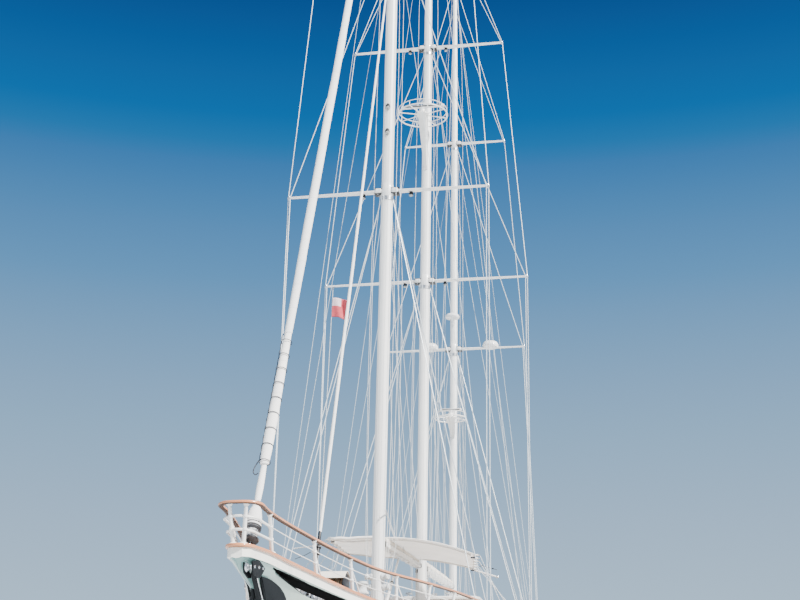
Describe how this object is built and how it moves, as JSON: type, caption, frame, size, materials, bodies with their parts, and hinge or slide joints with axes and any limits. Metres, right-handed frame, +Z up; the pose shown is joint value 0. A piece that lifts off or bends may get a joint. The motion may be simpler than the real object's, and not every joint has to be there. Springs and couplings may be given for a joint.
{
  "type": "three-masted sailing yacht, scale model 1:2",
  "caption": "Sailing yacht with three raked masts, furled headsails, booms with stowed sails, an awning, teak rails, a deckhouse, a long keel and a hung rudder.",
  "frame": {"origin": "amidships on the centreline, at the height of the water", "axes": "+X towards the bow, +Y to port, +Z up"},
  "size_m": [26.1595, 5.015, 26.385],
  "materials": {
    "white_paint": "gloss",
    "hull_paint": "gloss",
    "teak": "satin",
    "antifouling": "matt",
    "bronze": "satin",
    "dark_metal": "satin",
    "steel": "bright",
    "cloth": "woven",
    "glass": "tinted",
    "leather": "satin",
    "red_cloth": "woven"
  },
  "bodies": {
    "yacht": {"hull": "hull_paint", "ballast_keel": "antifouling", "rudder_skeg": "antifouling", "shaft_strut": "bronze", "cap_rail_port": "teak", "cap_rail_starboard": "teak", "top_rail_port": "teak", "top_rail_starboard": "teak", "skylight": "teak", "cockpit_seat": "teak", "railing_port": "white_paint", "railing_starboard": "white_paint", "fore_mast": "white_paint", "main_mast": "white_paint", "mizzen_mast": "white_paint", "radar_bracket_main": "white_paint", "radar_bracket_mizzen": "white_paint", "deckhouse_walls": "white_paint", "deckhouse_roof": "white_paint", "fore_hatch_coaming": "white_paint", "life_raft_port": "white_paint", "life_raft_starboard": "white_paint", "helm_pedestal": "white_paint", "fore_cap_shroud_port": "steel", "fore_cap_shroud_starboard": "steel", "fore_lower_shrouds": "steel", "main_cap_shrouds": "steel", "main_lower_shrouds": "steel", "mizzen_cap_shrouds": "steel", "mizzen_lower_shrouds": "steel", "jib_furler": "steel", "staysail_furler": "steel", "triatic_stay_fore_main": "steel", "triatic_stay_main_mizzen": "steel", "windlass": "steel", "jib_furled": "cloth", "staysail_furled": "cloth", "awning": "cloth", "flag_halyard": "cloth", "deckhouse_glass": "glass", "wheelhouse_console": "dark_metal", "anchor": "dark_metal", "saloon_settee": "leather", "courtesy_flag": "red_cloth"},
    "rudder": {"rudder": "antifouling"},
    "propeller": {"propeller": "bronze"},
    "fore_boom": {"fore_boom": "white_paint", "fore_sail_cover": "cloth"},
    "main_boom": {"main_boom": "white_paint", "main_sail_cover": "cloth"},
    "mizzen_boom": {"mizzen_boom": "white_paint", "mizzen_sail_cover": "cloth"},
    "radar_main": {"radar_scanner_main": "white_paint"},
    "radar_mizzen": {"radar_scanner_mizzen": "white_paint"},
    "door_port": {"door_port": "white_paint"},
    "door_starboard": {"door_starboard": "white_paint"},
    "fore_hatch_lid": {"fore_hatch_lid": "white_paint"},
    "skylight_lid_port": {"skylight_lid_port": "glass"},
    "skylight_lid_starboard": {"skylight_lid_starboard": "glass"},
    "steering_wheel": {"steering_wheel": "teak"}
  },
  "joints": [
    {"name": "rudder_turn", "type": "hinge", "parent": "yacht", "child": "rudder", "pos_m": [-9.2, 0, -0.81], "axis": [0, 0, 1], "range_deg": [-35, 35]},
    {"name": "propeller_spin", "type": "hinge", "parent": "yacht", "child": "propeller", "pos_m": [-6.375, 0, -1.525], "axis": [1, 0, 0], "continuous": true},
    {"name": "fore_boom_swing", "type": "hinge", "parent": "yacht", "child": "fore_boom", "pos_m": [4.50011, 0, 3.72], "axis": [0, 0, 1], "range_deg": [-68, 68], "deforming": ["awning"]},
    {"name": "main_boom_swing", "type": "hinge", "parent": "yacht", "child": "main_boom", "pos_m": [-0.70333, 0, 3.9555], "axis": [0, 0, 1], "range_deg": [-68, 68]},
    {"name": "mizzen_boom_swing", "type": "hinge", "parent": "yacht", "child": "mizzen_boom", "pos_m": [-6.18943, 0, 3.9305], "axis": [0, 0, 1], "range_deg": [-68, 68]},
    {"name": "radar_main_turn", "type": "hinge", "parent": "yacht", "child": "radar_main", "pos_m": [-0.55413, 0, 15.3054], "axis": [0, 0, 1], "continuous": true},
    {"name": "radar_mizzen_turn", "type": "hinge", "parent": "yacht", "child": "radar_mizzen", "pos_m": [-5.78118, 0, 8.7804], "axis": [0, 0, 1], "continuous": true},
    {"name": "door_port_hinge", "type": "hinge", "parent": "yacht", "child": "door_port", "pos_m": [-1.428, 1.14, 1.86], "axis": [0, 0, -1], "range_deg": [0, 110]},
    {"name": "door_starboard_hinge", "type": "hinge", "parent": "yacht", "child": "door_starboard", "pos_m": [-1.428, -1.14, 1.86], "axis": [0, 0, 1], "range_deg": [0, 110]},
    {"name": "fore_hatch_hinge", "type": "hinge", "parent": "yacht", "child": "fore_hatch_lid", "pos_m": [7.09, 0, 1.92131], "axis": [0, 1, 0], "range_deg": [0, 100]},
    {"name": "skylight_port_hinge", "type": "hinge", "parent": "yacht", "child": "skylight_lid_port", "pos_m": [2.6, 0.035, 2.09963], "axis": [1, 0, 0], "range_deg": [0, 75]},
    {"name": "skylight_starboard_hinge", "type": "hinge", "parent": "yacht", "child": "skylight_lid_starboard", "pos_m": [2.6, -0.035, 2.09963], "axis": [-1, 0, 0], "range_deg": [0, 75]},
    {"name": "wheel_turn", "type": "hinge", "parent": "yacht", "child": "steering_wheel", "pos_m": [-9.27, 0, 2.3834], "axis": [1, 0, 0], "range_deg": [-540, 540]}
  ],
  "couplings": [
    {"joint": "wheel_turn", "follows": "rudder_turn", "ratio": 15.429}
  ]
}
